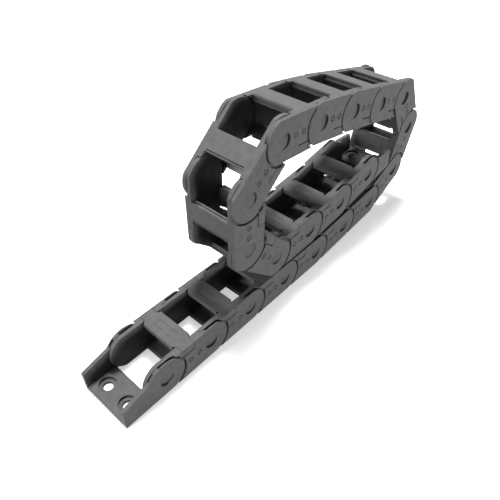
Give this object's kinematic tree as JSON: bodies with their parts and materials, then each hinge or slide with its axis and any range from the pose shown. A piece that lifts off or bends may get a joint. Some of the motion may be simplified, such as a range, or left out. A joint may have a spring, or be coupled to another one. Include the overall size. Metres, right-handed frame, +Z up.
{
  "type": "cable drag chain",
  "caption": "Small black plastic cable drag chain coiled into a loop, with snap-lid links and a screw-on bracket at each end.",
  "frame": {"origin": "midway between the two screw holes of the fixed end bracket, on its underside", "axes": "+X along the flat bottom run away from the fixed bracket, +Y across the chain, +Z up, towards the inner side of the bend"},
  "size_m": [0.2616, 0.0336, 0.1194],
  "materials": {
    "moulded_nylon": "matte moulded"
  },
  "bodies": {
    "fixed_end": {"fixed_end_bracket": "moulded_nylon"},
    "link_01": {"link_01_frame": "moulded_nylon", "link_01_lid": "moulded_nylon"},
    "link_02": {"link_02_frame": "moulded_nylon", "link_02_lid": "moulded_nylon"},
    "link_03": {"link_03_frame": "moulded_nylon", "link_03_lid": "moulded_nylon"},
    "link_04": {"link_04_frame": "moulded_nylon", "link_04_lid": "moulded_nylon"},
    "link_05": {"link_05_frame": "moulded_nylon", "link_05_lid": "moulded_nylon"},
    "link_06": {"link_06_frame": "moulded_nylon", "link_06_lid": "moulded_nylon"},
    "link_07": {"link_07_frame": "moulded_nylon", "link_07_lid": "moulded_nylon"},
    "link_08": {"link_08_frame": "moulded_nylon", "link_08_lid": "moulded_nylon"},
    "link_09": {"link_09_frame": "moulded_nylon", "link_09_lid": "moulded_nylon"},
    "link_10": {"link_10_frame": "moulded_nylon", "link_10_lid": "moulded_nylon"},
    "link_11": {"link_11_frame": "moulded_nylon", "link_11_lid": "moulded_nylon"},
    "link_12": {"link_12_frame": "moulded_nylon", "link_12_lid": "moulded_nylon"},
    "link_13": {"link_13_frame": "moulded_nylon", "link_13_lid": "moulded_nylon"},
    "link_14": {"link_14_frame": "moulded_nylon", "link_14_lid": "moulded_nylon"},
    "link_15": {"link_15_frame": "moulded_nylon", "link_15_lid": "moulded_nylon"},
    "link_16": {"link_16_frame": "moulded_nylon", "link_16_lid": "moulded_nylon"},
    "link_17": {"link_17_frame": "moulded_nylon", "link_17_lid": "moulded_nylon"},
    "link_18": {"link_18_frame": "moulded_nylon", "link_18_lid": "moulded_nylon"},
    "link_19": {"link_19_frame": "moulded_nylon", "link_19_lid": "moulded_nylon"},
    "moving_end": {"moving_end_bracket": "moulded_nylon"}
  },
  "joints": [
    {"name": "hinge_01", "type": "hinge", "parent": "fixed_end", "child": "link_01", "pos_m": [0.0193, 0, 0.0111], "axis": [0, 1, 0], "range_deg": [-48, 0]},
    {"name": "hinge_02", "type": "hinge", "parent": "link_01", "child": "link_02", "pos_m": [0.0503, 0, 0.0111], "axis": [0, -1, 0], "range_deg": [0, 48]},
    {"name": "hinge_03", "type": "hinge", "parent": "link_02", "child": "link_03", "pos_m": [0.0813, 0, 0.0111], "axis": [0, -1, 0], "range_deg": [0, 48]},
    {"name": "hinge_04", "type": "hinge", "parent": "link_03", "child": "link_04", "pos_m": [0.1123, 0, 0.0111], "axis": [0, -1, 0], "range_deg": [0, 48]},
    {"name": "hinge_05", "type": "hinge", "parent": "link_04", "child": "link_05", "pos_m": [0.1433, 0, 0.0111], "axis": [0, -1, 0], "range_deg": [0, 43]},
    {"name": "hinge_06", "type": "hinge", "parent": "link_05", "child": "link_06", "pos_m": [0.17418, 0, 0.0138], "axis": [0, -1, 0], "range_deg": [0, 48]},
    {"name": "hinge_07", "type": "hinge", "parent": "link_06", "child": "link_07", "pos_m": [0.20506, 0, 0.0165], "axis": [0, -1, 0], "range_deg": [-20.2, 27.8]},
    {"name": "hinge_08", "type": "hinge", "parent": "link_07", "child": "link_08", "pos_m": [0.23311, 0, 0.0297], "axis": [0, -1, 0], "range_deg": [-48, 0]},
    {"name": "hinge_09", "type": "hinge", "parent": "link_08", "child": "link_09", "pos_m": [0.24207, 0, 0.05938], "axis": [0, -1, 0], "range_deg": [-48, 0]},
    {"name": "hinge_10", "type": "hinge", "parent": "link_09", "child": "link_10", "pos_m": [0.22601, 0, 0.0859], "axis": [0, -1, 0], "range_deg": [-46.2, 1.8]},
    {"name": "hinge_11", "type": "hinge", "parent": "link_10", "child": "link_11", "pos_m": [0.19576, 0, 0.09266], "axis": [0, -1, 0], "range_deg": [0, 48]},
    {"name": "hinge_12", "type": "hinge", "parent": "link_11", "child": "link_12", "pos_m": [0.16551, 0, 0.09942], "axis": [0, -1, 0], "range_deg": [-3, 45]},
    {"name": "hinge_13", "type": "hinge", "parent": "link_12", "child": "link_13", "pos_m": [0.13494, 0, 0.10459], "axis": [0, -1, 0], "range_deg": [-4.7, 43.3]},
    {"name": "hinge_14", "type": "hinge", "parent": "link_13", "child": "link_14", "pos_m": [0.10405, 0, 0.10724], "axis": [0, -1, 0], "range_deg": [-46.2, 1.8]},
    {"name": "hinge_15", "type": "hinge", "parent": "link_14", "child": "link_15", "pos_m": [0.08077, 0, 0.08678], "axis": [0, -1, 0], "range_deg": [-47.9, 0.1]},
    {"name": "hinge_16", "type": "hinge", "parent": "link_15", "child": "link_16", "pos_m": [0.08033, 0, 0.05578], "axis": [0, -1, 0], "range_deg": [-47.7, 0.3]},
    {"name": "hinge_17", "type": "hinge", "parent": "link_16", "child": "link_17", "pos_m": [0.10297, 0, 0.0346], "axis": [0, -1, 0], "range_deg": [-44.4, 3.6]},
    {"name": "hinge_18", "type": "hinge", "parent": "link_17", "child": "link_18", "pos_m": [0.13396, 0, 0.0353], "axis": [0, -1, 0], "range_deg": [-4.4, 43.6]},
    {"name": "hinge_19", "type": "hinge", "parent": "link_18", "child": "link_19", "pos_m": [0.16481, 0, 0.03838], "axis": [0, -1, 0], "range_deg": [-5, 43]},
    {"name": "hinge_20", "type": "hinge", "parent": "link_19", "child": "moving_end", "pos_m": [0.19527, 0, 0.04414], "axis": [0, -1, 0], "range_deg": [0, 48]}
  ],
  "couplings": [
    {"joint": "hinge_07", "follows": "hinge_03", "ratio": -0.4208},
    {"joint": "hinge_08", "follows": "hinge_04", "ratio": -1},
    {"joint": "hinge_09", "follows": "hinge_05", "ratio": -1.114},
    {"joint": "hinge_10", "follows": "hinge_06", "ratio": -0.9625},
    {"joint": "hinge_11", "follows": "hinge_05", "ratio": 0.4651},
    {"joint": "hinge_12", "follows": "hinge_04", "ratio": 0.5125},
    {"joint": "hinge_13", "follows": "hinge_05", "ratio": 1.007},
    {"joint": "hinge_14", "follows": "hinge_05", "ratio": -1.0744},
    {"joint": "hinge_15", "follows": "hinge_04", "ratio": -0.6917},
    {"joint": "hinge_16", "follows": "hinge_05", "ratio": -0.186},
    {"joint": "hinge_17", "follows": "hinge_04", "ratio": 0.075},
    {"joint": "hinge_18", "follows": "hinge_05", "ratio": 1.0116},
    {"joint": "hinge_19", "follows": "hinge_04", "ratio": 0.8958}
  ]
}
